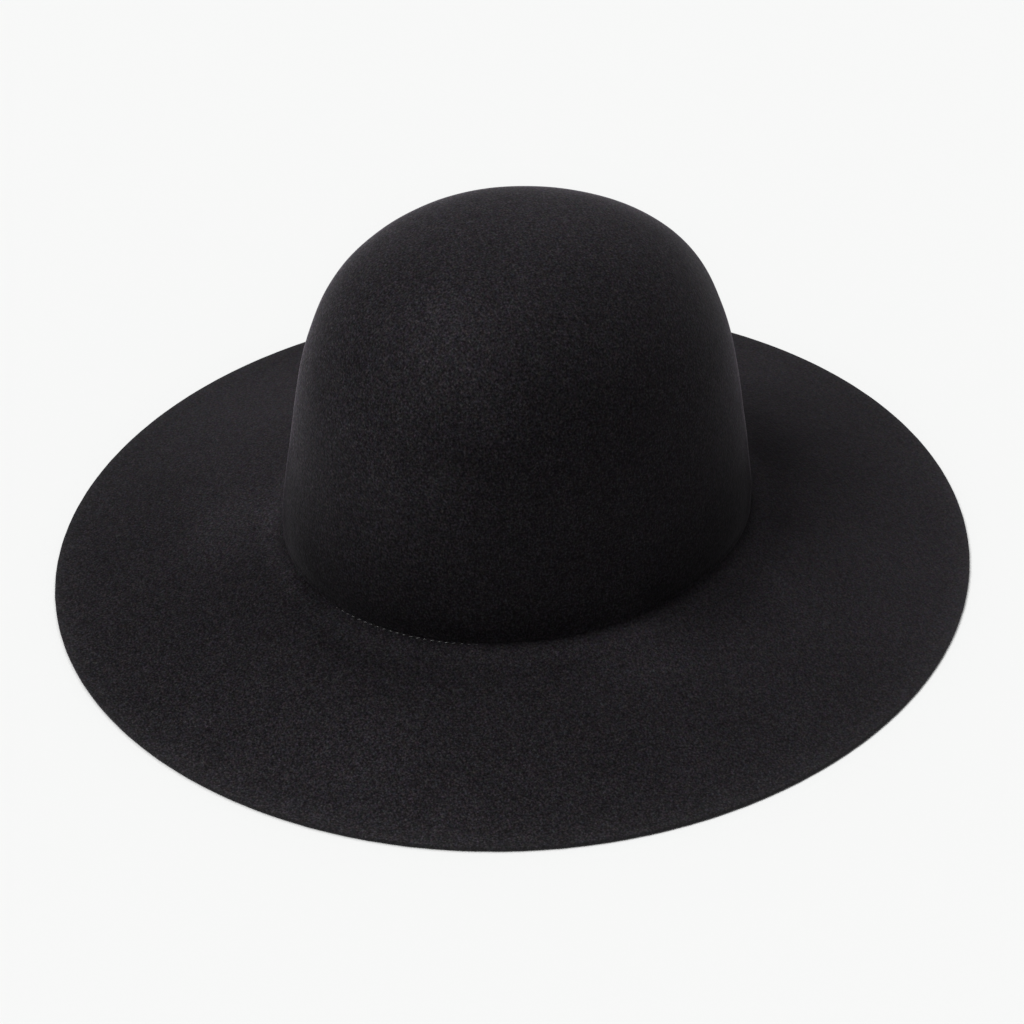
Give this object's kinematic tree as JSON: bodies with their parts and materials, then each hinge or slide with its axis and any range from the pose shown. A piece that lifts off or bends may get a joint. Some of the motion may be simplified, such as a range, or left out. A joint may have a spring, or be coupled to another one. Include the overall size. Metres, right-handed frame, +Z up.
{
  "type": "felt hat",
  "caption": "Wide-brimmed felt hat with a plain round crown, blocked in one piece, with a raw cut edge and an open hollow for the head.",
  "frame": {"origin": "under the middle of the brim's outline, on the surface that the hat rests on", "axes": "+Z up, the front of the hat towards -Y, the wearer's left towards +X"},
  "size_m": [0.3626, 0.3934, 0.1643],
  "materials": {
    "felt": "matt black wool felt with a short soft nap and a faint sheen at grazing angles",
    "thread": "black sewing thread, a little paler and shinier than the felt"
  },
  "bodies": {
    "root": {"felt_body": "felt"}
  },
  "joints": []
}
